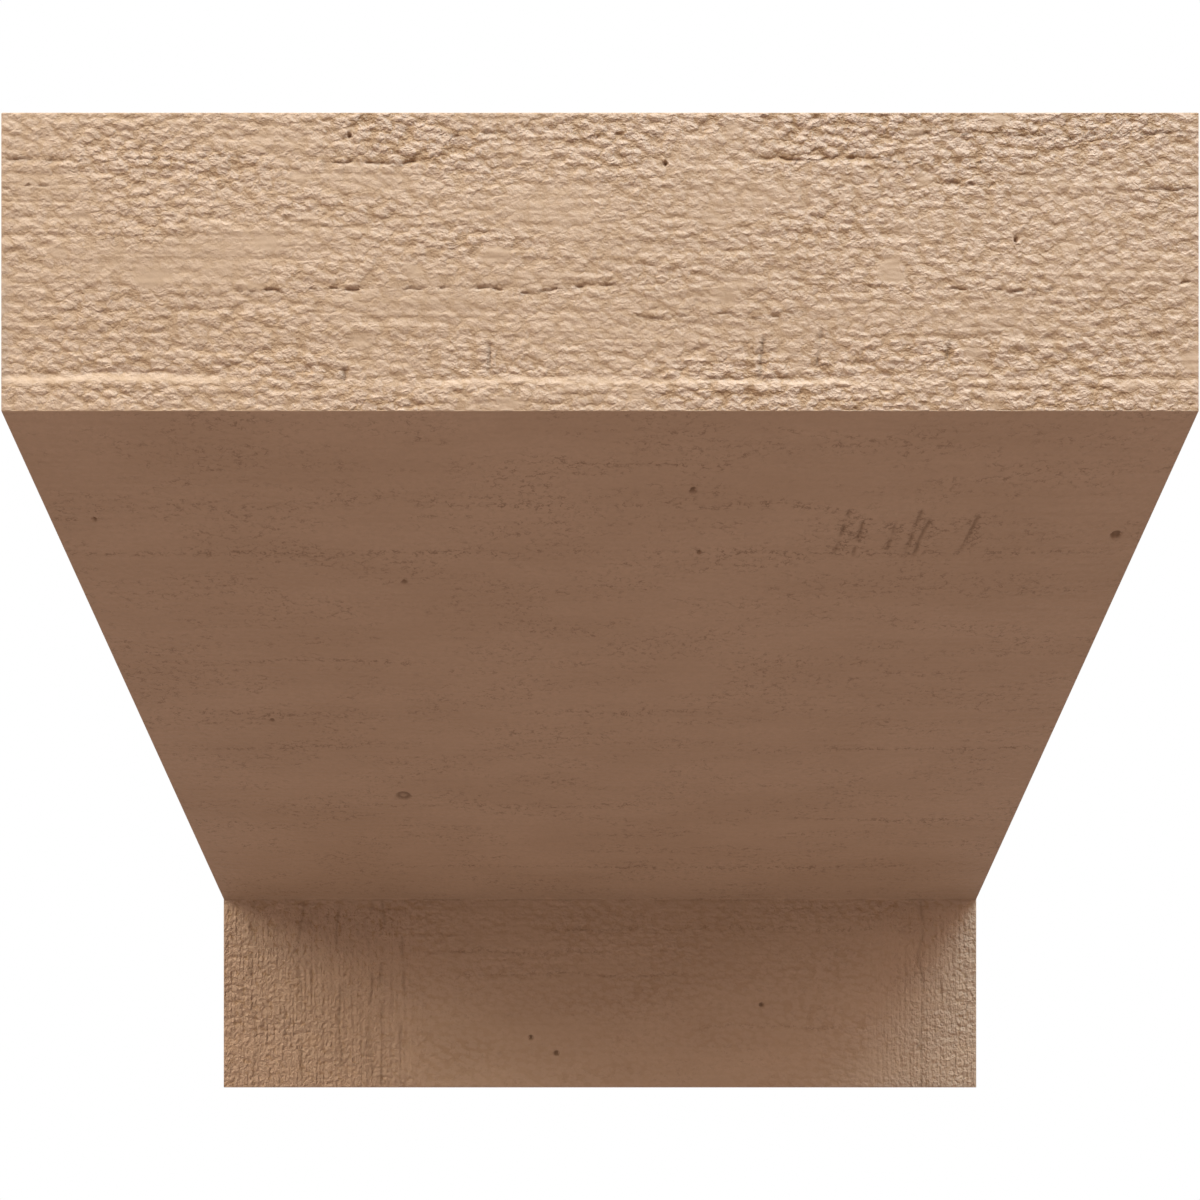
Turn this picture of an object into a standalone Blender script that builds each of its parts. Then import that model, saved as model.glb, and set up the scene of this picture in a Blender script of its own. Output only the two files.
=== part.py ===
"""A rough-sawn woodgrain corbel: one cast block with a square nose, a sloped underside and a short leg.

Metres, +Z up, +X to the right. The wall face lies in the plane y = 0 with the origin at its centre, and the
nose points to -Y. The block is a strip of rows that run across the width. The rows follow the side outline from
the wall's top edge over the nose, down the slope and the leg, and back to the wall.
"""

import math
import random

import bmesh
import bpy
from mathutils import Vector

# Overall sizes
WIDTH = 0.1524
HEIGHT = 0.1524
PROJECTION = 0.1524

# The nose in front, and the leg against the wall
NOSE_HEIGHT = 0.0381
LEG_HEIGHT = 0.0381
LEG_THICKNESS = 0.0381

# Eased arrises
EDGE_EASE = 0.0003

# The saw step along the nose: the band below it stands proud of the face above it
SAW_BAND_HEIGHT = 0.0034
SAW_STEP_DEPTH = 0.0003
SAW_STEP_RISE = 0.0007

# Torn grain seams, which run across the width of every face that shows
SEAM_SPACING = 0.0076
SEAM_HALF_WIDTH = 0.0006
SEAM_DEPTH = 0.0005
SEAM_WANDER = 0.0005
SEAM_RUN = 0.062
SEAM_SEED = 11

# Upright saw lines on both sides of the leg
SAW_LINE_DEPTH = 0.0002
SAW_LINE_REACH = 0.044

# Points across the width
COLUMN_PITCH = 0.0048

# Primed surface
PRIMER_COLOUR = (0.60, 0.43, 0.29, 1.0)
PRIMER_ROUGHNESS = 0.72
PRIMER_METALLIC = 0.0


def clear_scene():
    for old in list(bpy.data.objects):
        bpy.data.objects.remove(old, do_unlink=True)


def primer():
    material = bpy.data.materials.new("primer")
    material.use_nodes = True
    shader = material.node_tree.nodes["Principled BSDF"]
    shader.inputs["Base Color"].default_value = PRIMER_COLOUR
    shader.inputs["Roughness"].default_value = PRIMER_ROUGHNESS
    shader.inputs["Metallic"].default_value = PRIMER_METALLIC
    return material


def side_corners():
    """The side outline's corners, as (y, z), in order round the block."""
    top = HEIGHT / 2
    foot = -HEIGHT / 2
    return {
        "wall_top": (0.0, top),
        "nose_top": (-PROJECTION, top),
        "nose_foot": (-PROJECTION, top - NOSE_HEIGHT),
        "crease": (-LEG_THICKNESS, foot + LEG_HEIGHT),
        "leg_foot": (-LEG_THICKNESS, foot),
        "wall_foot": (0.0, foot),
    }


def columns():
    """The x of each point across the width. The outermost pair makes the eased side arris."""
    inner = WIDTH / 2 - EDGE_EASE
    count = max(2, round(2 * inner / COLUMN_PITCH))
    between = [-inner + 2 * inner * step / count for step in range(count + 1)]
    return [-WIDTH / 2, *between, WIDTH / 2]


class Face:
    """One flat stretch of the side outline, with its direction and the way into the block."""

    def __init__(self, start, end):
        run = (end[0] - start[0], end[1] - start[1])
        self.start = start
        self.length = math.hypot(*run)
        self.along = (run[0] / self.length, run[1] / self.length)
        self.inward = (-self.along[1], self.along[0])

    def row(self, distance, depth=None, shift=None):
        """A line of points across the width, at a distance along the face, sunk by depth(column, x)."""
        xs = columns()
        points = []
        for column, x in enumerate(xs):
            at_side = column in (0, len(xs) - 1)
            sunk = depth(column, x) if depth else 0.0
            sunk += EDGE_EASE if at_side else 0.0
            moved = distance + (shift(x) if shift else 0.0)
            y = self.start[0] + moved * self.along[0] + sunk * self.inward[0]
            z = self.start[1] + moved * self.along[1] + sunk * self.inward[1]
            points.append(Vector((x, y, z)))
        return points


def crease_row(above, below):
    """The row in the inner corner between two faces, eased at the sides along both of them."""
    meet = 1 + above.inward[0] * below.inward[0] + above.inward[1] * below.inward[1]
    xs = columns()
    points = []
    for column, x in enumerate(xs):
        sunk = EDGE_EASE / meet if column in (0, len(xs) - 1) else 0.0
        y = below.start[0] + sunk * (above.inward[0] + below.inward[0])
        z = below.start[1] + sunk * (above.inward[1] + below.inward[1])
        points.append(Vector((x, y, z)))
    return points


def seam_rows(face, low, high, rng, base=None):
    """Rows for the torn seams between two distances along a face: two lips and a floor for each seam."""
    count = max(1, round((high - low) / SEAM_SPACING))
    pitch = (high - low) / count
    half = min(SEAM_HALF_WIDTH, pitch / 5)
    wander = min(SEAM_WANDER, pitch / 6)
    rows = []
    for number in range(count):
        middle = low + pitch * (number + 0.5 + rng.uniform(-0.12, 0.12))
        phase = rng.uniform(0, 2 * math.pi)
        run = SEAM_RUN * rng.uniform(0.7, 1.4)
        drift = rng.uniform(0, 2 * math.pi)

        def shift(x, drift=drift, run=run):
            return wander * math.sin(2 * math.pi * x / run + drift)

        def lip(column, x):
            return base(column, x) if base else 0.0

        def floor(column, x, phase=phase, run=run):
            torn = max(0.0, math.sin(2 * math.pi * x / run + phase))
            return lip(column, x) + SEAM_DEPTH * (0.25 + 0.75 * torn)

        rows.append(face.row(middle - half, lip, shift))
        rows.append(face.row(middle, floor, shift))
        rows.append(face.row(middle + half, lip, shift))
    return rows


def set_back(column, x):
    """The nose above the saw step lies behind the band below it."""
    return SAW_STEP_DEPTH


def saw_lines(column, x):
    """Upright scores on the leg, deepest at the sides and gone towards the middle."""
    reach = min(1.0, max(0.0, (abs(x) - (WIDTH / 2 - SAW_LINE_REACH)) / SAW_LINE_REACH))
    return SAW_LINE_DEPTH * reach if column % 2 else 0.0


def block_rows():
    """All the rows, in order round the block."""
    rng = random.Random(SEAM_SEED)
    corner = side_corners()
    top = Face(corner["wall_top"], corner["nose_top"])
    nose = Face(corner["nose_top"], corner["nose_foot"])
    slope = Face(corner["nose_foot"], corner["crease"])
    leg = Face(corner["crease"], corner["leg_foot"])
    foot = Face(corner["leg_foot"], corner["wall_foot"])
    step_foot = nose.length - SAW_BAND_HEIGHT
    step_head = step_foot - SAW_STEP_RISE

    rows = [top.row(0.0), top.row(top.length - EDGE_EASE - SAW_STEP_DEPTH)]
    rows.append(nose.row(EDGE_EASE, set_back))
    rows += seam_rows(nose, EDGE_EASE, step_head, rng, set_back)
    rows.append(nose.row(step_head, set_back))
    rows.append(nose.row(step_foot))
    rows.append(nose.row(nose.length - EDGE_EASE))
    rows.append(slope.row(EDGE_EASE))
    rows += seam_rows(slope, EDGE_EASE, slope.length, rng)
    rows.append(crease_row(slope, leg))
    rows += seam_rows(leg, 0.0, leg.length - EDGE_EASE, rng, saw_lines)
    rows.append(leg.row(leg.length - EDGE_EASE, saw_lines))
    rows.append(foot.row(EDGE_EASE))
    rows.append(foot.row(foot.length))
    return rows


def corbel():
    mesh = bmesh.new()
    lines = [[mesh.verts.new(point) for point in row] for row in block_rows()]
    for here, after in zip(lines, lines[1:] + lines[:1]):
        for left in range(len(here) - 1):
            mesh.faces.new((here[left], here[left + 1], after[left + 1], after[left]))
    mesh.faces.new([line[0] for line in lines])
    mesh.faces.new([line[-1] for line in reversed(lines)])
    bmesh.ops.recalc_face_normals(mesh, faces=mesh.faces)
    data = bpy.data.meshes.new("corbel")
    mesh.to_mesh(data)
    mesh.free()
    data.materials.append(primer())
    block = bpy.data.objects.new("corbel", data)
    bpy.context.scene.collection.objects.link(block)
    return block


clear_scene()
corbel()
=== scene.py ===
"""The looks of a rough-sawn woodgrain corbel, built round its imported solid.

One mesh stands for the block. It starts as a fine grid over every face, shaped by torn grain, saw marks,
nicks and worm holes, and is then thinned to the triangles that the relief needs. Metres, +Z up, nose
towards -Y.
"""

import math
from collections import namedtuple

import bpy
import numpy as np
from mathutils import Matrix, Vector


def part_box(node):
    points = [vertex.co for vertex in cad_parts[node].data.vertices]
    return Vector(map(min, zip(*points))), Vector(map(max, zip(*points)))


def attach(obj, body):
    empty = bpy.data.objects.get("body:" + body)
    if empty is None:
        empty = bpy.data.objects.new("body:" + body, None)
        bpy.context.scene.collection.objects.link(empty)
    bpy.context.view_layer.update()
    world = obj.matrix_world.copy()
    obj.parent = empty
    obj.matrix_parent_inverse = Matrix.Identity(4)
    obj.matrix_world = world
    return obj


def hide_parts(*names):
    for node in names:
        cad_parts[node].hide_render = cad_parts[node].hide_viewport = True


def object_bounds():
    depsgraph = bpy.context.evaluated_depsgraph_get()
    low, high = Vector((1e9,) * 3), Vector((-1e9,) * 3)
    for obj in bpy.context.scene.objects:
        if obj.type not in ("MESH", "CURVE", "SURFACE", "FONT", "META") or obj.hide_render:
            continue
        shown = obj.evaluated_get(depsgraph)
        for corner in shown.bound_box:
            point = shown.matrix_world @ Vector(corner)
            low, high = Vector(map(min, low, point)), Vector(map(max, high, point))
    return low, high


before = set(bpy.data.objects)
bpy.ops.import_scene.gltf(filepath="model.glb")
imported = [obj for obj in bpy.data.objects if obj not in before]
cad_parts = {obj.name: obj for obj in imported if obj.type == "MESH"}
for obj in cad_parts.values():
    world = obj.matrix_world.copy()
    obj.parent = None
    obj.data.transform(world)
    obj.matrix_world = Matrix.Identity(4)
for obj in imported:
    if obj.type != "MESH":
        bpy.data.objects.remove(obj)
CAD_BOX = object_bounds()

MM = 0.001

# The photograph's frame, in pixels
PHOTO_SIDE = 1200
PHOTO_NOSE_WIDTH = 1199.5
PHOTO_FOCAL = 1520.0
PHOTO_HORIZON = 711.25

# Arrises
CAD_EDGE_EASE = 0.3 * MM
ARRIS_RADIUS = 0.2 * MM
SIDE_RADIUS = 0.15 * MM
ARC_STEPS = 4

# The faces lie this far inside the solid, and taller bumps end flat just under it
INSET = 0.06 * MM
PROUDEST = INSET - 0.01 * MM
DEEPEST_CUT = 1.2 * MM

# Grid of the fine mesh. Each front face has its own row pitch, in FACES
COLUMN_PITCH = 0.25 * MM
DEPTH_STEPS = 140
KEPT_TRIANGLES = 196000
SHARP_ANGLE = 50

# Relief of the grain. A reach is how far noise carries across the rows and along them
GRAIN_SEED = 5
CRUMB_RISE = 0.042 * MM
CRUMB_REACH = (0.24 * MM, 0.36 * MM)
LINE_RISE = 0.012 * MM
LINE_REACH = (0.34 * MM, 6.0 * MM)
SLOPE_SHARE = 0.12
SLOPE_BUMP_SHARE = 0.5
EDGE_FADE = 0.5 * MM

# Marks that the front faces give the material, and those that the hidden faces have instead. One of them
# paints shade into the cuts, by their depth
MARKS = ("rough", "torn", "cut_shade", "sawn", "stain")
HIDDEN_MARKS = {"rough": 0.7, "stain": 0.3}

# A face looks along an axis where its normal has more than this share of it
FACING_SHARE = 0.75

# Lighter grain of the two sides
SIDE_RISE = 0.03 * MM
SIDE_REACH = (0.5 * MM, 6.0 * MM)
SIDE_PITCH = (0.2 * MM, 1.0 * MM)
SIDE_FADE_ROWS = 4
SIDE_FADE_STEPS = (0.99, 1.0)

# Rough patches and rubbed spots
PATCH_REACH = (1.6 * MM, 5.0 * MM)
PATCH_SHARE = 0.22
PATCH_LIMIT = 2
SPOT_REACH = (0.9 * MM, 1.4 * MM)
SPOT_SPAN = (1.5, 2.7)
SPOT_SHARE = 0.8

# Rougher and calmer parts of the nose and the leg, in mm down the face or across the width
NOSE_ROUGH = 0.88
NOSE_TOP_END = (6, 10)
NOSE_TOP_SHARE = 0.3
NOSE_FOOT_START = (28, 31)
NOSE_FOOT_SHARE = 0.2
NOSE_RIGHT_SHARE = 0.12
LEG_ROUGH = 0.7
LEG_LEFT_END = (-62, -20)
LEG_LEFT_SHARE = 0.65
LEG_RIGHT_START = (30, 60)
LEG_RIGHT_SHARE = 0.3
LEG_CALM_DOWN = (17, 27)
LEG_CALM_ACROSS = (-20, 45, 12)
LEG_CALM_SHARE = 0.35

# The saw step along the nose: strong at the left end, fair in the middle, faint elsewhere
SAW_BAND_HEIGHT = 3.85 * MM
SAW_BAND_TILT = 0.25 * MM
SAW_EDGE_WANDER = (0.15 * MM, 4.0 * MM)
SAW_STEP_RISE = 0.32 * MM
SAW_STEP_WIDTH = 1.05 * MM
SAW_STEP_RETURN = 22.0 * MM
SAW_LEFT_END = (-50, -42)
SAW_MIDDLE = (-21, 34, 4)
SAW_SHARE = 0.3
SAW_LEFT_SHARE = 0.7
SAW_MIDDLE_SHARE = 0.45
SAW_LEDGE_HALF_WIDTH = 0.6 * MM
SAW_LEDGE_CALM = 0.6
SAW_GROOVE_LIFT = 0.8 * MM
SAW_GROOVE_HALF_WIDTH = 0.2 * MM
SAW_GROOVE_DEPTH = 0.09 * MM

# Upright saw lines on the leg's sides, and a few deeper grooves at their places across the width, in mm
UprightLine = namedtuple("UprightLine", "depth half_width wander wander_reach dash_reach dash_span")
SAW_LINE = UprightLine(0.07 * MM, 0.24 * MM, 0.12 * MM, 2.0 * MM, 1.0 * MM, (-1.0, 1.0))
SAW_LINE_GAPS = (1.3, 2.5)
SAW_LINE_CENTRE_SHARE = 0.1
GROOVE = UprightLine(0.15 * MM, 0.3 * MM, 0.3 * MM, 3.0 * MM, 1.5 * MM, (-1.2, 0.6))
LEG_GROOVES = (-70.0, -60.7, -52.9, -46.4, -44.0, -39.7, 65.1)
SAWN_START = (0.3 * MM, 3.5 * MM)
SAWN_LEFT_END = (-52, -28)
SAWN_RIGHT_START = (48, 66)

# Torn rows: distance down the face, depth, and the spans across the width that each is torn over, in mm
TornRow = namedtuple("TornRow", "down depth spans")
NOSE_TEARS = (
    TornRow(6.1, 0.25, ((-76, -66), (-60, -42), (-38, -20), (20, 51))),
    TornRow(9.3, 0.26, ((-76, -70), (27, 38), (43, 52), (66, 76))),
    TornRow(2.9, 0.18, ((-20, 8), (38, 76))),
    TornRow(22.2, 0.27, ((-46, -30), (-25, 2), (34, 40), (44, 58), (71, 76))),
    TornRow(25.7, 0.16, ((0, 26),)),
    TornRow(33.9, 0.20, ((13, 24),)),
)
SLOPE_TEARS = (
    TornRow(9.5, 0.16, ((-5, 13),)),
    TornRow(18.2, 0.20, ((-26, -4), (2, 33))),
    TornRow(28.2, 0.18, ((-76, -14), (15, 74))),
    TornRow(54.6, 0.16, ((-69, -28),)),
    TornRow(69.1, 0.16, ((-68, -45), (-12, 20))),
    TornRow(80.1, 0.21, ((-66, -38), (38, 76))),
    TornRow(99.7, 0.16, ((-50, 8),)),
    TornRow(104.8, 0.24, ((34, 76),)),
    TornRow(123.2, 0.16, ((-40, 60),)),
)
LEG_TEARS = (
    TornRow(6.0, 0.19, ((-10, 56),)),
    TornRow(10.5, 0.18, ((-34, 2),)),
    TornRow(15.2, 0.28, ((-28, 17),)),
    TornRow(25.8, 0.16, ((20, 48),)),
)
TEAR_WANDERS = ((0.25 * MM, 3.0 * MM), (0.12 * MM, 0.5 * MM))
TEAR_DASH_REACH = 0.4 * MM
TEAR_DASH_SPAN = (-0.4, 0.9)
TEAR_END_BLUR = 2
TEAR_HALF_WIDTH = 0.14 * MM
TEAR_UPPER_LIP = 0.8
TEAR_LOWER_LIP = 1.4
TORN_NARROWNESS = 0.36
TORN_ROUGH = 0.35

# Worm holes: distance down the face, place across the width, and diameter, in mm
NOSE_HOLES = ((2.9, -31.9, 0.7), (6.5, 8.3, 0.7), (16.2, 52.9, 0.7))
SLOPE_HOLES = (
    (14.9, 12.6, 1.1),
    (20.8, -70.0, 0.8),
    (24.1, 72.4, 1.6),
    (27.9, 14.1, 0.8),
    (34.7, -28.6, 0.9),
    (71.4, -54.5, 1.0),
)
LEG_HOLES = ((27.9, -14.0, 1.0), (31.1, -8.8, 1.2), (21.3, 32.6, 1.0))
HOLE_DEPTH = 0.55 * MM
HOLE_RIM = (0.45, 1.15)
# Cuts this deep get the full painted shade
FULL_CUT_SHADE_DEPTH = 0.3 * MM

# One hole on the slope is a ring round a core
RING_HOLE = (96.1, -35.3, 2.8)
RING_CORE = RING_HOLE[:2] + (1.9,)
RING_CORE_SHARE = 0.8

# Upright nicks: place across the width, and where each starts and ends down the face, in mm
NOSE_NICKS = (
    (44.5, 29.2, 35.8),
    (20.9, 28.6, 33.8),
    (28.2, 27.6, 32.6),
    (-32.4, 32.5, 35.0),
    (-14.0, 29.0, 33.6),
)
SLOPE_NICKS = (
    (34.4, 19.0, 28.0),
    (36.6, 20.0, 28.6),
    (44.2, 19.0, 28.6),
    (45.6, 21.0, 28.6),
    (52.3, 20.0, 28.0),
    (41.0, 22.0, 27.0),
)
NICK_DEPTH = 0.26 * MM
NICK_HALF_WIDTH = 0.24 * MM
NICK_LEAN = (-0.15, -0.05)
NICK_WANDER = (0.08 * MM, 0.8 * MM)
NICK_DASH_REACH = 0.7 * MM
NICK_DASH_SPAN = (-1.6, 0.5)
NICK_END_BLUR = 0.8
NICK_BAND = 0.9
NICK_BAND_END_BLUR = 1
NICK_TORN = 0.9

# The front faces: row pitch, marks on each, how deep its tears are and how stained it is
Face = namedtuple("Face", "pitch tears holes nicks tear_share stain")
NOSE, SLOPE, LEG = range(3)
FACES = (
    Face(0.2 * MM, NOSE_TEARS, NOSE_HOLES, NOSE_NICKS, 0.9, 0.3),
    Face(0.35 * MM, SLOPE_TEARS, SLOPE_HOLES, SLOPE_NICKS, 0.25, 1.0),
    Face(0.22 * MM, LEG_TEARS, LEG_HOLES, (), 0.35, 0.6),
)

# Colours, linear
PRIMER_COLOUR = (0.530, 0.374, 0.250, 1.0)
PRIMER_PALE = (0.575, 0.412, 0.282, 1.0)
PRIMER_WORN = (0.49, 0.345, 0.232, 1.0)
# Colour of the hairline cracks and specks, and of the painted shade in cuts, tears, holes and nicks
CRACK_AND_CUT_SHADE_COLOUR = (0.24, 0.15, 0.085, 1.0)
# Painted highlight for the crumbs' tops, and painted shade for their crevices
CRUMB_TOP_HIGHLIGHT_COLOUR = (0.59, 0.425, 0.31, 1.0)
CREVICE_SHADE_COLOUR = (0.42, 0.26, 0.14, 1.0)
# Paler primer where the leg is sawn, which also paints extra light on the leg's lit ends
SAWN_PALE_AND_LIGHT_COLOUR = (0.62, 0.415, 0.265, 1.0)
SHADE_COLOUR = (0.0, 0.0, 0.0, 1.0)

# Fine relief in the bump. Each layer: stretch along the grain and across it, scale, and share if it has one
Layer = namedtuple("Layer", "stretch scale share", defaults=(None,))
BUMP_RISE = 0.25 * MM
WARP_SCALE = 1100.0
WARP_REACH = 1.1 * MM
CRUMBS = Layer((0.64, 1.0), 930.0, 0.72)
CRUMB_SOFTNESS = 0.3
SAWN_CRUMBS = Layer((1.3, 0.9), 1000.0, 0.8)
GRIT = Layer((0.85, 1.0), 1900.0, 0.6)
ROWS = Layer((0.035, 1.0), 800.0, 0.55)
SAND = Layer((1.0, 0.75), 1500.0, 2.2)
STREAKS = Layer((1.0, 0.05), 1300.0, 1.8)

# Cracks, specks and the primer's colour. A span is where a layer starts to show and where it shows in full,
# and then, if given, what it comes to at each
CRACKS = Layer((0.7, 1.0), 650.0, 0.8)
CRACK_WIDTH = 0.05
BREAKS = Layer((0.7, 1.0), 1300.0)
BREAK_SPAN = (0.46, 0.60)
TORN_LIFT = 0.15
PATCHES = Layer((0.3, 1.0), 170.0)
PATCH_SPAN = (0.40, 0.62, 0.05, 0.8)
SPECKS = Layer((0.8, 1.0), 1900.0, 0.3)
SPECK_SPAN = (0.56, 0.70)
DRIFTS = Layer((0.35, 1.0), 90.0)
DRIFT_SPAN = (0.3, 0.7)
MOTTLE = Layer((0.7, 1.0), 1300.0, 0.35)
MOTTLE_SPAN = (0.35, 0.65)
# Where the painted crevice shade starts and is full on the crumbs, and how much of this painted relief light
# shows
CREVICE_SHADE_SPAN = (0.30, 0.62)
RELIEF_LIGHT_SHARE = 0.8
# How strong the painted shade in the cuts is
CUT_SHADE_SHARE = 0.8
# How far the sawn ends take the paler tone that also paints light on them
SAWN_PALE_AND_LIGHT_SHARE = 0.6
GLOSS_SPAN = (0.3, 0.7, 0.58, 0.48)
SPECULAR = 0.45

# Shade in the inner corner
CREASE_SHADE = 0.16
CREASE_REACH = 8.0 * MM

# Lights. The fill has a zone overhead, one behind the block and one below the horizon
LIT_POINT = (0.0, -0.09, -0.01)
SOFTBOX_SIDE = 0.5
KEY_LEFT_PLACE = (-0.695, -0.577, 0.839)
KEY_LEFT_POWER = 6.1
KEY_LEFT_TINT = (0.985, 0.985, 0.835)
KEY_RIGHT_PLACE = (0.386, -0.55, 1.029)
KEY_RIGHT_POWER = 13.1
KEY_RIGHT_TINT = (0.585, 0.85, 1.0)
FILL_OVERHEAD = (2.39, 2.01, 1.81, 1.0)
FILL_BEHIND = (1.2, 1.05, 0.97, 1.0)
FILL_BELOW = (0.452, 0.312, 0.252, 1.0)
UNLIT = (0.0, 0.0, 0.0, 1.0)
BACKDROP = (1.0, 1.0, 1.0, 1.0)
HORIZON_SPAN = (-0.02, 0.02)
OVERHEAD_SPAN = (0.45, 0.55)
BEHIND_SPAN = (0.05, 0.25)

# Floor
FLOOR_COLOUR = (0.262, 0.216, 0.202, 1.0)
FLOOR_ROUGHNESS = 0.9
FLOOR_LEVEL = -0.5
FLOOR_RADIUS = 1.1
FLOOR_SIDES = 96

# Camera
SENSOR_WIDTH = 36.0
NEAREST_SEEN = 0.01


def smooth(value, low, high):
    """0 below low, 1 above high, and an even curve between."""
    share = np.clip((value - low) / (high - low), 0.0, 1.0)
    return share * share * (3 - 2 * share)


def window(place, start, end, blur):
    """1 between start and end, falling softly to 0 outside."""
    return smooth(place, start - blur, start + blur) * (1 - smooth(place, end - blur, end + blur))


def ridge(away):
    """1 where away is 0, falling off evenly on both sides."""
    return np.exp(-(away**2))


def noise(rng, shape, pitch, reach):
    """Seeded noise of unit spread. pitch and reach are (across the rows, along them)."""
    white = np.fft.rfft2(rng.standard_normal(shape))
    across = np.fft.fftfreq(shape[0], pitch[0])[:, None]
    along = np.fft.rfftfreq(shape[1], pitch[1])[None, :]
    decay = np.exp(-2 * np.pi**2 * ((across * reach[0]) ** 2 + (along * reach[1]) ** 2))
    field = np.fft.irfft2(white * decay, s=shape)
    return field / field.std()


def wander(rng, count, pitch, reach):
    """Seeded noise of unit spread along one line."""
    return noise(rng, (1, count), (1.0, pitch), (0.0, reach))[0]


def read_grid(grid, rows, columns):
    """The grid's values at fractional rows and columns."""
    row = np.clip(np.floor(rows).astype(int), 0, grid.shape[0] - 2)
    column = np.clip(np.floor(columns).astype(int), 0, grid.shape[1] - 2)
    down = rows - row
    over = columns - column
    upper = grid[row, column] * (1 - over) + grid[row, column + 1] * over
    lower = grid[row + 1, column] * (1 - over) + grid[row + 1, column + 1] * over
    return upper * (1 - down) + lower * down


class Outline:
    """The side outline: down the nose, the slope and the leg, as rows with their arrises rounded."""

    def __init__(self, node):
        """Measures the solid, and sets each face's corners a little inside it."""
        low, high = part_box(node)
        points = np.array([vertex.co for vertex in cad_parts[node].data.vertices])
        y, z = points[:, 1], points[:, 2]
        near = 0.01 * MM
        nose_foot = z[y < low[1] + near].min() - CAD_EDGE_EASE
        leg_front = y[z < low[2] + near].min() - CAD_EDGE_EASE
        crease = z[abs(y - leg_front) < near].max()
        self.half_width = high[0] - INSET
        self.wall = high[1]
        self.top = high[2] - INSET
        self.foot = low[2] + INSET
        slope = math.atan2(crease - nose_foot, leg_front - low[1])
        lift = INSET * math.tan((slope + math.pi / 2) / 2)
        self.corners = (
            (low[1] + INSET, self.top),
            (low[1] + INSET, nose_foot + lift),
            (leg_front + INSET, crease + lift),
            (leg_front + INSET, self.foot),
        )
        self.headings = (-math.pi, -math.pi / 2, slope, -math.pi / 2, 0.0)
        self.lengths = [math.dist(a, b) for a, b in zip(self.corners, self.corners[1:])]
        self.make_rows()

    def set_back(self, corner):
        """How far from a corner its round starts. The inner corner stays sharp."""
        turn = self.headings[corner + 1] - self.headings[corner]
        return ARRIS_RADIUS * math.tan(turn / 2) if turn > 0 else 0.0

    def make_rows(self):
        """Fills the arrays of the rows: place, heading, face number and distance along that face."""
        rows = []
        for corner, place in enumerate(self.corners):
            if self.set_back(corner) > 0:
                rows += self.round_rows(corner, place)
            if corner < len(self.lengths):
                rows += self.face_rows(corner, place, FACES[corner].pitch)
        rows = np.array(rows)
        self.y, self.z, self.heading, self.along = rows[:, 0], rows[:, 1], rows[:, 2], rows[:, 3]
        self.face = rows[:, 4].astype(int)
        self.out_y = np.sin(self.heading)
        self.out_z = -np.cos(self.heading)

    def face_rows(self, corner, place, pitch):
        """Rows down the flat face that starts at a corner."""
        heading = self.headings[corner + 1]
        head = self.set_back(corner)
        tail = self.lengths[corner] - self.set_back(corner + 1)
        count = round((tail - head) / pitch)
        first = 0 if head > 0 else 1
        rows = []
        for step in range(first, count + 1):
            along = head + (tail - head) * step / count
            y = place[0] + along * math.cos(heading)
            z = place[1] + along * math.sin(heading)
            rows.append((y, z, heading, along, corner))
        return rows

    def round_rows(self, corner, place):
        """Rows round an outer arris. Their distance along a face is -1, for none."""
        before, after = self.headings[corner], self.headings[corner + 1]
        back = self.set_back(corner)
        centre_y = place[0] - back * math.cos(before) - ARRIS_RADIUS * math.sin(before)
        centre_z = place[1] - back * math.sin(before) + ARRIS_RADIUS * math.cos(before)
        last_corner = len(self.corners) - 1
        first = 0 if corner == 0 else 1
        last = ARC_STEPS if corner == last_corner else ARC_STEPS - 1
        rows = []
        for step in range(first, last + 1):
            heading = before + (after - before) * step / ARC_STEPS
            y = centre_y + ARRIS_RADIUS * math.sin(heading)
            z = centre_z - ARRIS_RADIUS * math.cos(heading)
            rows.append((y, z, heading, -1.0, min(corner, LEG)))
        return rows


def column_places(outline):
    """The x of each column and how far it is rounded off at the sides."""
    flat = outline.half_width - SIDE_RADIUS
    count = round(2 * flat / COLUMN_PITCH)
    inner = np.linspace(-flat, flat, count + 1)
    angles = np.linspace(0, math.pi / 2, ARC_STEPS + 1)[1:]
    outer = flat + SIDE_RADIUS * np.sin(angles)
    drop = SIDE_RADIUS * (1 - np.cos(angles))
    xs = np.concatenate([-outer[::-1], inner, outer])
    drops = np.concatenate([drop[::-1], np.zeros(count + 1), drop])
    return xs, drops


def tear(rng, along, xs, row):
    """One torn row, a broken groove along the grain. Gives its depth and how torn its band is."""
    centre = row.down * MM
    for amount, reach in TEAR_WANDERS:
        centre = centre + amount * wander(rng, len(xs), COLUMN_PITCH, reach)
    dashes = smooth(wander(rng, len(xs), COLUMN_PITCH, TEAR_DASH_REACH), *TEAR_DASH_SPAN)
    across = sum(window(xs / MM, start, end, TEAR_END_BLUR) for start, end in row.spans)
    away = (along[:, None] - centre) / TEAR_HALF_WIDTH
    lip = ridge(away / np.where(away < 0, TEAR_UPPER_LIP, TEAR_LOWER_LIP))
    return row.depth * MM * dashes * across * lip, ridge(away * TORN_NARROWNESS) * across


def hole(along, xs, place):
    """A worm hole with a soft rim."""
    down, across, diameter = place
    away = np.hypot(along[:, None] - down * MM, xs - across * MM) / (diameter * MM / 2)
    return HOLE_DEPTH * (1 - smooth(away, *HOLE_RIM))


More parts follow.
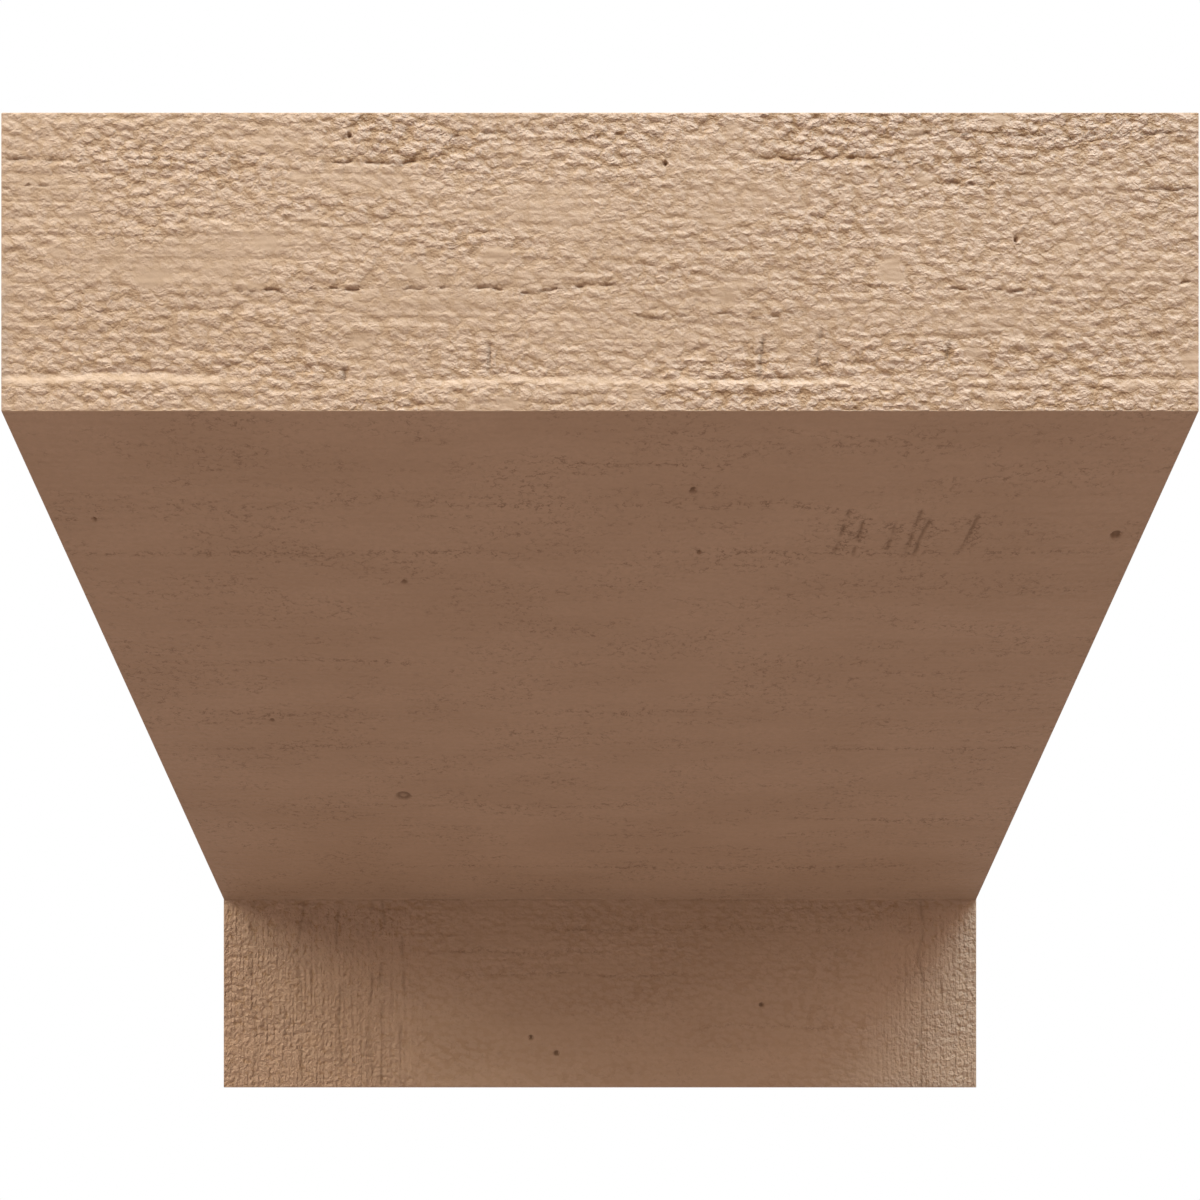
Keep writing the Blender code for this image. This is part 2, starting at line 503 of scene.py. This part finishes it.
def nick(rng, along, xs, place):
    """An upright cut across the grain. Gives its depth and how torn its band is."""
    across, start, end = place
    pitch = along[1] - along[0]
    centre = across * MM + rng.uniform(*NICK_LEAN) * (along - start * MM)
    centre = centre + NICK_WANDER[0] * wander(rng, len(along), pitch, NICK_WANDER[1])
    dashes = smooth(wander(rng, len(along), pitch, NICK_DASH_REACH), *NICK_DASH_SPAN)
    dashes = dashes * window(along / MM, start, end, NICK_END_BLUR)
    depth = NICK_DEPTH * ridge((xs - centre[:, None]) / NICK_HALF_WIDTH) * dashes[:, None]
    beside = ridge((xs / MM - across) / NICK_BAND)
    return depth, NICK_TORN * beside * window(along / MM, start, end, NICK_BAND_END_BLUR)[:, None]


def saw_step(rng, from_foot, xs):
    """The band at the nose's foot stands proud, by an amount that comes and goes across the width."""
    edge = SAW_BAND_HEIGHT - SAW_BAND_TILT * xs / xs[-1]
    edge = edge + SAW_EDGE_WANDER[0] * wander(rng, len(xs), COLUMN_PITCH, SAW_EDGE_WANDER[1])
    left = 1 - smooth(xs / MM, *SAW_LEFT_END)
    middle = window(xs / MM, *SAW_MIDDLE)
    strength = SAW_SHARE + SAW_LEFT_SHARE * left + SAW_MIDDLE_SHARE * middle
    above = from_foot[:, None] - edge
    recess = smooth(above, -SAW_STEP_WIDTH / 2, SAW_STEP_WIDTH / 2) * (1 - smooth(above, 0, SAW_STEP_RETURN))
    ledge = ridge(above / SAW_LEDGE_HALF_WIDTH) * np.clip(strength, 0, 1)
    groove = ridge((above - SAW_GROOVE_LIFT) / SAW_GROOVE_HALF_WIDTH) * left
    return -SAW_STEP_RISE * strength * recess - SAW_GROOVE_DEPTH * groove, ledge


def upright_line(rng, count, xs, place, line):
    """One broken upright line down the leg, as shares of its depth."""
    centre = place * MM + line.wander * wander(rng, count, COLUMN_PITCH, line.wander_reach)
    dashes = smooth(wander(rng, count, COLUMN_PITCH, line.dash_reach), *line.dash_span)
    return dashes[:, None] * ridge((xs - centre[:, None]) / line.half_width)


def saw_lines(rng, along, xs, sawn):
    """Lines over the leg's sawn sides, and its grooves. Gives the rise of one and the cut of the other."""
    rise = np.zeros((len(along), len(xs)))
    place = xs[0] / MM
    while place < xs[-1] / MM:
        place += rng.uniform(*SAW_LINE_GAPS)
        rise -= SAW_LINE.depth * upright_line(rng, len(along), xs, place, SAW_LINE)
    rise *= SAW_LINE_CENTRE_SHARE + (1 - SAW_LINE_CENTRE_SHARE) * sawn
    cut = sum(GROOVE.depth * upright_line(rng, len(along), xs, place, GROOVE) for place in LEG_GROOVES)
    return rise, cut


def roughness(rng, shape, pitch, along, xs, face):
    """How rough each spot is: torn patches, rubbed spots, and each face's rougher and calmer parts."""
    patches = noise(rng, shape, pitch, PATCH_REACH)
    spots = noise(rng, shape, pitch, SPOT_REACH)
    rough = 1 + PATCH_SHARE * np.clip(patches, -PATCH_LIMIT, PATCH_LIMIT)
    rough *= 1 - SPOT_SHARE * smooth(spots, *SPOT_SPAN)
    down = along[:, None] / MM
    place = xs / MM
    if face == NOSE:
        top = 1 - smooth(down, *NOSE_TOP_END)
        foot = smooth(down, *NOSE_FOOT_START)
        rough *= NOSE_ROUGH + NOSE_TOP_SHARE * top + NOSE_FOOT_SHARE * foot
        rough *= 1 + NOSE_RIGHT_SHARE * xs / xs[-1]
    if face == LEG:
        left = 1 - smooth(place, *LEG_LEFT_END)
        right = smooth(place, *LEG_RIGHT_START)
        rough *= LEG_ROUGH + LEG_LEFT_SHARE * left + LEG_RIGHT_SHARE * right
        rough *= 1 - LEG_CALM_SHARE * smooth(down, *LEG_CALM_DOWN) * window(place, *LEG_CALM_ACROSS)
    return rough


def front_relief(rng, outline, face, xs):
    """How far the surface of one front face stands out, and its marks for the material, by row and column."""
    kind = FACES[face]
    rows = np.flatnonzero((outline.face == face) & (outline.along >= 0))
    along = outline.along[rows]
    shape = (len(rows), len(xs))
    pitch = (kind.pitch, COLUMN_PITCH)
    rough = roughness(rng, shape, pitch, along, xs, face)
    crumbs = noise(rng, shape, pitch, CRUMB_REACH)
    rise = CRUMB_RISE * rough * crumbs + LINE_RISE * noise(rng, shape, pitch, LINE_REACH)
    torn, cut, sawn = np.zeros(shape), np.zeros(shape), np.zeros(shape)
    for row in kind.tears:
        depth, band = tear(rng, along, xs, row)
        cut += kind.tear_share * depth
        torn = np.maximum(torn, band)
    for place in kind.holes:
        cut += hole(along, xs, place)
    for place in kind.nicks:
        depth, band = nick(rng, along, xs, place)
        cut += depth
        torn = np.maximum(torn, band)
    if face == NOSE:
        step, ledge = saw_step(rng, outline.lengths[NOSE] - along, xs)
        rise = rise * (1 - SAW_LEDGE_CALM * ledge) + step
        rough *= (1 - SAW_LEDGE_CALM * ledge) * (1 + TORN_ROUGH * torn)
    if face == SLOPE:
        rise *= SLOPE_SHARE
        cut += hole(along, xs, RING_HOLE) - RING_CORE_SHARE * hole(along, xs, RING_CORE)
    if face == LEG:
        sawn += 1 - smooth(xs / MM, *SAWN_LEFT_END) + smooth(xs / MM, *SAWN_RIGHT_START)
        sawn *= smooth(along, *SAWN_START)[:, None]
        lines, grooves = saw_lines(rng, along, xs, sawn)
        rise += lines
        cut += grooves
    start, end = along[0], along[-1]
    fade = smooth(along, start, start + EDGE_FADE) * (1 - smooth(along, end - EDGE_FADE, end))
    # The mark taken from the cut depth is painted shade, darker the deeper the cut
    marks = {"rough": rough, "torn": torn, "cut_shade": np.clip(cut / FULL_CUT_SHADE_DEPTH, 0, 1), "sawn": sawn}
    marks["stain"] = np.full(shape, kind.stain)
    return rows, (rise - cut) * fade[:, None], marks


def front_grid(rng, outline):
    """Points of the nose, slope and leg, by row and column. Their marks are kept with the outline."""
    xs, drops = column_places(outline)
    shape = (len(outline.y), len(xs))
    rise = np.zeros(shape)
    outline.columns = xs
    outline.marks = {name: np.zeros(shape) for name in MARKS}
    for face in range(len(FACES)):
        rows, relief, marks = front_relief(rng, outline, face, xs)
        rise[rows] = relief
        for name in MARKS:
            outline.marks[name][rows] = marks[name]
    side_fade = smooth(outline.half_width - abs(xs), SIDE_RADIUS / 2, SIDE_RADIUS + EDGE_FADE)
    rise = np.clip(rise * side_fade, -DEEPEST_CUT, PROUDEST) - drops
    grid = np.empty(shape + (3,))
    grid[..., 0] = xs
    grid[..., 1] = outline.y[:, None] + rise * outline.out_y[:, None]
    grid[..., 2] = outline.z[:, None] + rise * outline.out_z[:, None]
    return grid


def towards_wall(outline, edge):
    """Points from one edge of the front faces straight back to the wall, and the share of the way of each."""
    steps = np.linspace(0, 1, DEPTH_STEPS + 1)[1:]
    grid = np.repeat(edge[:, None, :], DEPTH_STEPS, axis=1)
    grid[..., 1] += (outline.wall - edge[:, None, 1]) * steps
    return grid, steps


def side_grid(rng, outline, edge, sign):
    """Points of one side, with a lighter grain that dies out at its edges."""
    grid, steps = towards_wall(outline, edge)
    nose = outline.y.min()
    height, depth = outline.top - outline.foot, outline.wall - nose
    shape = (math.ceil(height / SIDE_PITCH[0]) + 1, math.ceil(depth / SIDE_PITCH[1]) + 1)
    field = noise(rng, shape, SIDE_PITCH, SIDE_REACH)
    below_top = (outline.top - grid[..., 2]) / SIDE_PITCH[0]
    behind_nose = (grid[..., 1] - nose) / SIDE_PITCH[1]
    relief = SIDE_RISE * read_grid(field, below_top, behind_nose)
    rows = np.arange(len(edge))
    inside = smooth(rows, 0, SIDE_FADE_ROWS) * (1 - smooth(rows, rows[-1] - SIDE_FADE_ROWS, rows[-1]))
    relief *= inside[:, None] * (1 - smooth(steps, *SIDE_FADE_STEPS))
    grid[..., 0] += sign * np.clip(relief, -DEEPEST_CUT, PROUDEST)
    return grid


class Grids:
    """Gathers grids of points, and the faces that cover them, for one mesh."""

    def __init__(self):
        """Starts with nothing gathered."""
        self.points = []
        self.polygons = []
        self.used = 0

    def add(self, grid):
        """Takes in a grid's points and gives their numbers, in the shape of the grid."""
        index = np.arange(grid.shape[0] * grid.shape[1]).reshape(grid.shape[:2]) + self.used
        self.used += index.size
        self.points.append(grid.reshape(-1, 3))
        return index

    def cover(self, index, flip):
        """Covers a grid of point numbers with four-sided faces."""
        a, b, c, d = index[:-1, :-1], index[:-1, 1:], index[1:, 1:], index[1:, :-1]
        corners = (a, d, c, b) if flip else (a, b, c, d)
        self.polygons += np.stack(corners, axis=-1).reshape(-1, 4).tolist()

    def mesh(self, name):
        """The mesh of all that was gathered."""
        mesh = bpy.data.meshes.new(name)
        mesh.from_pydata(np.concatenate(self.points).tolist(), [], self.polygons)
        mesh.validate()
        return mesh


def back_faces(sides, caps):
    """Faces across the back, one to each row. The end ones take in the edges of the top and the foot."""
    left, right = sides[0][:, -1], sides[1][:, -1]
    top_edge, foot_edge = (list(cap[1:-1, -1]) for cap in caps)
    last = len(left) - 2
    faces = []
    for row in range(last + 1):
        ring = [left[row]]
        if row == 0:
            ring += top_edge
        ring += [right[row], right[row + 1]]
        if row == last:
            ring += foot_edge[::-1]
        ring += [left[row + 1]]
        faces.append([int(number) for number in ring])
    return faces


def block_mesh(outline):
    """The fine closed mesh of the whole block: front faces, sides, top, foot and back."""
    rng = np.random.default_rng(GRAIN_SEED)
    grids = Grids()
    front = front_grid(rng, outline)
    front_index = grids.add(front)
    sides = []
    for sign, column in ((-1, 0), (1, -1)):
        index = grids.add(side_grid(rng, outline, front[:, column], sign))
        sides.append(np.concatenate([front_index[:, column][:, None], index], axis=1))
    caps = []
    for row in (0, -1):
        index = grids.add(towards_wall(outline, front[row, 1:-1])[0])
        left, right = sides[0][row, 1:][None, :], sides[1][row, 1:][None, :]
        body = np.concatenate([left, index, right], axis=0)
        caps.append(np.concatenate([front_index[row][:, None], body], axis=1))
    grids.cover(front_index, True)
    grids.cover(sides[0], False)
    grids.cover(sides[1], True)
    grids.cover(caps[0], True)
    grids.cover(caps[1], False)
    grids.polygons += back_faces(sides, caps)
    return grids.mesh("corbel_fine")


def thinned(mesh):
    """The same surface with only the triangles that its relief needs."""
    fine = bpy.data.objects.new("corbel_fine", mesh)
    bpy.context.scene.collection.objects.link(fine)
    triangles = sum(len(polygon.vertices) - 2 for polygon in mesh.polygons)
    decimate = fine.modifiers.new("thin", "DECIMATE")
    decimate.ratio = KEPT_TRIANGLES / triangles
    decimate.use_collapse_triangulate = True
    graph = bpy.context.evaluated_depsgraph_get()
    kept = bpy.data.meshes.new_from_object(fine.evaluated_get(graph))
    bpy.data.objects.remove(fine, do_unlink=True)
    bpy.data.meshes.remove(mesh)
    points = np.clip(read_vectors(kept.vertices, "co"), CAD_BOX[0], CAD_BOX[1])
    kept.vertices.foreach_set("co", points.astype(np.float32).ravel())
    kept.update()
    return kept


def read_vectors(items, name):
    """One vector from each of a mesh's items, as rows."""
    values = np.empty(len(items) * 3, dtype=np.float32)
    items.foreach_get(name, values)
    return values.reshape(-1, 3)


def surface_marks(outline, places, fronts):
    """The marks that drive the material, at each corner of the mesh."""
    columns = np.interp(places[:, 0], outline.columns, np.arange(len(outline.columns)))
    starts = np.concatenate([[0.0], np.cumsum(outline.lengths)])
    flat = np.flatnonzero(outline.along >= 0)
    run = starts[outline.face[flat]] + outline.along[flat]
    rows = np.interp(places[:, 1], run, flat)
    found = {}
    for name, grid in outline.marks.items():
        found[name] = np.where(fronts, read_grid(grid, rows, columns), HIDDEN_MARKS.get(name, 0.0))
    crease = starts[LEG]
    on_slope = fronts & (places[:, 1] > starts[SLOPE]) & (places[:, 1] < crease)
    near = np.exp(-np.abs(crease - places[:, 1]) / CREASE_REACH)
    found["crease"] = np.where(on_slope, CREASE_SHADE * near, 0.0)
    found["rough"] = np.where(on_slope, found["rough"] * SLOPE_BUMP_SHARE, found["rough"])
    return found


def grain_places(mesh, outline):
    """For each corner of the mesh: its place along and across the grain, and if it is on a front face."""
    index = np.empty(len(mesh.loops), dtype=np.int32)
    mesh.loops.foreach_get("vertex_index", index)
    points = read_vectors(mesh.vertices, "co")[index]
    normals = np.repeat(read_vectors(mesh.polygons, "normal"), 3, axis=0)
    middle = np.repeat(points.reshape(-1, 3, 3).mean(axis=1), 3, axis=0)
    best = np.full(len(index), -np.inf)
    places = np.zeros((len(index), 3), dtype=np.float32)
    run = 0.0
    for face, (corner, length) in enumerate(zip(outline.corners, outline.lengths)):
        heading = outline.headings[face + 1]
        run_y, run_z = math.cos(heading), math.sin(heading)
        out = np.array([0.0, run_z, -run_y])
        along = (points[:, 1] - corner[0]) * run_y + (points[:, 2] - corner[1]) * run_z
        off = (middle[:, 1] - corner[0]) * out[1] + (middle[:, 2] - corner[1]) * out[2]
        score = normals @ out - abs(off) / MM
        better = score > best
        best[better] = score[better]
        places[better, 0] = points[better, 0]
        places[better, 1] = run + along[better]
        run += length
    faces_aside = abs(normals[:, 0]) > FACING_SHARE
    fronts = (best > 0) & ~faces_aside
    hidden = ~fronts & ~faces_aside
    faces_up = hidden & (abs(normals[:, 2]) > FACING_SHARE)
    for where, along, across in ((faces_aside, 1, 2), (faces_up, 0, 1), (hidden & ~faces_up, 0, 2)):
        places[where, 0] = points[where, along]
        places[where, 1] = points[where, across]
    return places, fronts


class Nodes:
    """Short names for adding and linking shader nodes."""

    def __init__(self, tree):
        """Takes over a node tree and empties it."""
        self.tree = tree
        tree.nodes.clear()

    def add(self, kind, inputs=None, **settings):
        """A node with its inputs linked or set."""
        node = self.tree.nodes.new(kind)
        for name, value in settings.items():
            setattr(node, name, value)
        for name, value in (inputs or {}).items():
            self.feed(node.inputs[name], value)
        return node

    def feed(self, socket, value):
        """Links an output to the socket, or sets a plain value there."""
        if isinstance(value, bpy.types.NodeSocket):
            self.tree.links.new(value, socket)
        else:
            socket.default_value = value

    def maths(self, operation, first, second=0.0, third=0.0):
        """One sum on numbers."""
        return self.add("ShaderNodeMath", {0: first, 1: second, 2: third}, operation=operation).outputs[0]

    def vector_maths(self, operation, first, second):
        """One sum on vectors."""
        return self.add("ShaderNodeVectorMath", {0: first, 1: second}, operation=operation).outputs[0]

    def stretch(self, vector, layer):
        """The layer's own grain: places stretched along the grain and across it."""
        return self.vector_maths("MULTIPLY", vector, layer.stretch + (1.0,))

    def noise(self, vector, scale, detail=2.0, roughness=0.5):
        """Plain noise over a surface."""
        inputs = {"Vector": vector, "Scale": scale, "Detail": detail, "Roughness": roughness}
        return self.add("ShaderNodeTexNoise", inputs, noise_dimensions="2D").outputs[0]

    def layer_noise(self, grain, layer, detail, roughness=0.5):
        """Noise with a layer's stretch and scale."""
        return self.noise(self.stretch(grain, layer), layer.scale, detail, roughness)

    def cells(self, grain, layer, warp, **settings):
        """A node of cells with a layer's stretch and scale, their walls bent by warp."""
        vector = self.vector_maths("ADD", self.stretch(grain, layer), warp)
        inputs = {"Vector": vector, "Scale": layer.scale}
        return self.add("ShaderNodeTexVoronoi", inputs, voronoi_dimensions="2D", **settings)

    def span(self, value, low, high, to_low=0.0, to_high=1.0):
        """to_low up to low, to_high from high on, and an even curve between."""
        inputs = {"Value": value, "From Min": low, "From Max": high, "To Min": to_low, "To Max": to_high}
        return self.add("ShaderNodeMapRange", inputs, interpolation_type="SMOOTHSTEP").outputs[0]

    def mix(self, share, first, second):
        """A colour between two."""
        node = self.add("ShaderNodeMix", data_type="RGBA")
        for socket, value in ((node.inputs[0], share), (node.inputs[6], first), (node.inputs[7], second)):
            self.feed(socket, value)
        return node.outputs[2]


def crumb_cells(nodes, grain, marks):
    """Cells of torn grain: long soft ones on the whole, upright ones where the leg is sawn."""
    warp = nodes.maths("MULTIPLY", nodes.noise(grain, WARP_SCALE), WARP_REACH)
    soft = nodes.cells(grain, CRUMBS, warp, feature="SMOOTH_F1")
    soft.inputs["Smoothness"].default_value = CRUMB_SOFTNESS
    along = soft.outputs["Distance"]
    away = nodes.cells(grain, SAWN_CRUMBS, warp, feature="F1").outputs["Distance"]
    upright = nodes.maths("MULTIPLY", away, away)
    share = nodes.maths("MULTIPLY", marks["sawn"], SAWN_CRUMBS.share)
    return nodes.maths("MULTIPLY_ADD", nodes.maths("SUBTRACT", upright, along), share, along)


def relief_height(nodes, grain, marks, crumb, grit):
    """Height of the fine relief, in shares of BUMP_RISE: crumbs, grit, rows, sand and saw streaks."""
    height = nodes.maths("MULTIPLY", grit, GRIT.share)
    height = nodes.maths("SUBTRACT", height, nodes.maths("MULTIPLY", crumb, CRUMBS.share))
    height = nodes.maths("MULTIPLY", height, marks["rough"])
    unsawn = nodes.maths("SUBTRACT", 1.0, nodes.maths("MINIMUM", marks["sawn"], 1.0))
    layers = (
        (nodes.layer_noise(grain, ROWS, 1.0), unsawn, ROWS.share),
        (nodes.layer_noise(grain, SAND, 2.0, 0.6), marks["sawn"], SAND.share),
        (nodes.layer_noise(grain, STREAKS, 1.0), marks["sawn"], STREAKS.share),
    )
    for texture, where, share in layers:
        level = nodes.maths("MULTIPLY", nodes.maths("SUBTRACT", texture, 0.5), where)
        height = nodes.maths("MULTIPLY_ADD", level, share, height)
    return height


def stain_marks(nodes, grain, marks):
    """Hairline cracks and specks, gathered in patches and along the torn rows."""
    field = nodes.layer_noise(grain, CRACKS, 3.0, 0.65)
    off = nodes.maths("ABSOLUTE", nodes.maths("SUBTRACT", field, 0.5))
    line = nodes.span(off, 0.0, CRACK_WIDTH, 1.0, 0.0)
    breaks = nodes.layer_noise(grain, BREAKS, 2.0, 0.6)
    breaks = nodes.maths("MULTIPLY_ADD", marks["torn"], TORN_LIFT, breaks)
    line = nodes.maths("MULTIPLY", line, nodes.span(breaks, *BREAK_SPAN))
    patch = nodes.span(nodes.layer_noise(grain, PATCHES, 3.0, 0.7), *PATCH_SPAN)
    where = nodes.maths("MULTIPLY_ADD", patch, marks["stain"], marks["torn"])
    where = nodes.maths("MINIMUM", where, 1.0)
    speck = nodes.span(nodes.layer_noise(grain, SPECKS, 2.0, 0.6), *SPECK_SPAN)
    return nodes.maths("MULTIPLY", line, where), nodes.maths("MULTIPLY", speck, where)


def primer_tint(nodes, grain, marks, crumb):
    """Tan primer: drifts, mottle, painted highlights on crumb tops, painted shade in deep crevices, cracks,
    painted shade in cuts, a paler sawn tone that also paints light on the leg's lit ends, and painted shade
    in the inner corner.
    """
    drift = nodes.span(nodes.layer_noise(grain, DRIFTS, 3.0, 0.6), *DRIFT_SPAN)
    tint = nodes.mix(drift, PRIMER_COLOUR, PRIMER_PALE)
    mottle = nodes.span(nodes.layer_noise(grain, MOTTLE, 3.0, 0.7), *MOTTLE_SPAN)
    tint = nodes.mix(nodes.maths("MULTIPLY", mottle, MOTTLE.share), tint, PRIMER_WORN)
    # Paler sawn ends: partly the primer's tone, partly painted light on the leg's lit ends
    tint = nodes.mix(nodes.maths("MULTIPLY", marks["sawn"], SAWN_PALE_AND_LIGHT_SHARE), tint, SAWN_PALE_AND_LIGHT_COLOUR)
    # Painted light of the relief: paler tops as painted highlights, browner crevices as painted shade
    relief = nodes.mix(nodes.span(crumb, *CREVICE_SHADE_SPAN), CRUMB_TOP_HIGHLIGHT_COLOUR, CREVICE_SHADE_COLOUR)
    unstained_relief_light = nodes.maths("MULTIPLY", nodes.maths("SUBTRACT", 1.0, marks["stain"]), marks["rough"])
    tint = nodes.mix(nodes.maths("MULTIPLY", unstained_relief_light, RELIEF_LIGHT_SHARE), tint, relief)
    crack, speck = stain_marks(nodes, grain, marks)
    crack = nodes.maths("MULTIPLY", crack, CRACKS.share)
    spots = nodes.maths("MAXIMUM", crack, nodes.maths("MULTIPLY", speck, SPECKS.share))
    tint = nodes.mix(nodes.maths("MULTIPLY", spots, marks["stain"]), tint, CRACK_AND_CUT_SHADE_COLOUR)
    # Painted shade in cuts, tears, holes, nicks and grooves, by their depth
    tint = nodes.mix(nodes.maths("MULTIPLY", marks["cut_shade"], CUT_SHADE_SHARE), tint, CRACK_AND_CUT_SHADE_COLOUR)
    return nodes.mix(marks["crease"], tint, SHADE_COLOUR)


def primer_material():
    """Matt tan primer over moulded rough-sawn grain."""
    material = bpy.data.materials.new("tan_primer")
    material.use_nodes = True
    nodes = Nodes(material.node_tree)
    grain = nodes.add("ShaderNodeAttribute", attribute_name="grain").outputs["Vector"]
    marks = {}
    for name in MARKS + ("crease",):
        marks[name] = nodes.add("ShaderNodeAttribute", attribute_name=name).outputs["Fac"]
    crumb = crumb_cells(nodes, grain, marks)
    grit = nodes.layer_noise(grain, GRIT, 3.0, 0.6)
    height = relief_height(nodes, grain, marks, crumb, grit)
    bump = nodes.add("ShaderNodeBump", {"Strength": 1.0, "Distance": BUMP_RISE, "Height": height})
    inputs = {
        "Base Color": primer_tint(nodes, grain, marks, crumb),
        "Normal": bump.outputs[0],
        "Roughness": nodes.span(grit, *GLOSS_SPAN),
        "Specular IOR Level": SPECULAR,
    }
    shader = nodes.add("ShaderNodeBsdfPrincipled", inputs)
    nodes.add("ShaderNodeOutputMaterial", {"Surface": shader.outputs[0]})
    return material


def make_corbel():
    """The one piece of the object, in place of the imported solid."""
    outline = Outline("corbel")
    mesh = thinned(block_mesh(outline))
    mesh.name = "corbel_block"
    mesh.set_sharp_from_angle(angle=math.radians(SHARP_ANGLE))
    mesh.shade_smooth()
    places, fronts = grain_places(mesh, outline)
    mesh.attributes.new("grain", "FLOAT_VECTOR", "CORNER").data.foreach_set("vector", places.ravel())
    for name, values in surface_marks(outline, places, fronts).items():
        mesh.attributes.new(name, "FLOAT", "CORNER").data.foreach_set("value", values.astype(np.float32))
    mesh.materials.clear()
    mesh.materials.append(primer_material())
    block = bpy.data.objects.new("corbel_block", mesh)
    bpy.context.scene.collection.objects.link(block)
    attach(block, "root")
    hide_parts("corbel")


def make_floor():
    """A plain pale floor, well below the block."""
    place = (0.0, 0.0, FLOOR_LEVEL)
    bpy.ops.mesh.primitive_circle_add(
        vertices=FLOOR_SIDES, radius=FLOOR_RADIUS, fill_type="NGON", location=place
    )
    floor = bpy.context.object
    floor.name = "floor"
    material = bpy.data.materials.new("pale_floor")
    material.use_nodes = True
    shader = material.node_tree.nodes["Principled BSDF"]
    shader.inputs["Base Color"].default_value = FLOOR_COLOUR
    shader.inputs["Roughness"].default_value = FLOOR_ROUGHNESS
    floor.data.materials.append(material)


def add_softbox(name, place, power, tint):
    """A square studio light, aimed at the block."""
    light = bpy.data.lights.new(name, "AREA")
    light.shape = "SQUARE"
    light.size = SOFTBOX_SIDE
    light.energy = power
    light.color = tint
    box = bpy.data.objects.new(name, light)
    box.location = place
    box.rotation_euler = (Vector(LIT_POINT) - Vector(place)).to_track_quat("-Z", "Y").to_euler()
    bpy.context.scene.collection.objects.link(box)


def light_studio():
    """Two softboxes and a soft fill, with a white backdrop that only the camera sees."""
    add_softbox("key_left", KEY_LEFT_PLACE, KEY_LEFT_POWER, KEY_LEFT_TINT)
    add_softbox("key_right", KEY_RIGHT_PLACE, KEY_RIGHT_POWER, KEY_RIGHT_TINT)
    world = bpy.data.worlds.new("studio")
    bpy.context.scene.world = world
    world.use_nodes = True
    nodes = Nodes(world.node_tree)
    direction = nodes.add("ShaderNodeTexCoord").outputs["Generated"]
    parts = nodes.add("ShaderNodeSeparateXYZ", {0: direction}).outputs
    behind = nodes.span(parts["Y"], *BEHIND_SPAN)
    level = nodes.mix(behind, UNLIT, FILL_BEHIND)
    overhead = nodes.mix(behind, FILL_OVERHEAD, UNLIT)
    fill = nodes.mix(nodes.span(parts["Z"], *HORIZON_SPAN), FILL_BELOW, level)
    fill = nodes.mix(nodes.span(parts["Z"], *OVERHEAD_SPAN), fill, overhead)
    seen = nodes.add("ShaderNodeLightPath").outputs["Is Camera Ray"]
    inputs = {"Color": nodes.mix(seen, fill, BACKDROP), "Strength": 1.0}
    background = nodes.add("ShaderNodeBackground", inputs)
    nodes.add("ShaderNodeOutputWorld", {"Surface": background.outputs[0]})


def add_camera():
    """Level camera at the height that the photograph's horizon gives, as far off as its focal length asks."""
    width = CAD_BOX[1][0] - CAD_BOX[0][0]
    middle = (CAD_BOX[1][2] + CAD_BOX[0][2]) / 2
    distance = PHOTO_FOCAL * width / PHOTO_NOSE_WIDTH
    data = bpy.data.cameras.new("photo_camera")
    data.sensor_width = SENSOR_WIDTH
    data.lens = PHOTO_FOCAL * SENSOR_WIDTH / PHOTO_SIDE
    data.shift_y = (PHOTO_HORIZON - PHOTO_SIDE / 2) / PHOTO_SIDE
    data.clip_start = NEAREST_SEEN
    camera = bpy.data.objects.new("photo_camera", data)
    camera.location = (0.0, CAD_BOX[0][1] - distance, middle)
    camera.rotation_euler = (math.pi / 2, 0.0, 0.0)
    bpy.context.scene.collection.objects.link(camera)
    bpy.context.scene.camera = camera


make_corbel()
make_floor()
light_studio()
add_camera()
bpy.context.scene.view_settings.view_transform = "Standard"
bpy.context.scene.view_settings.look = "None"
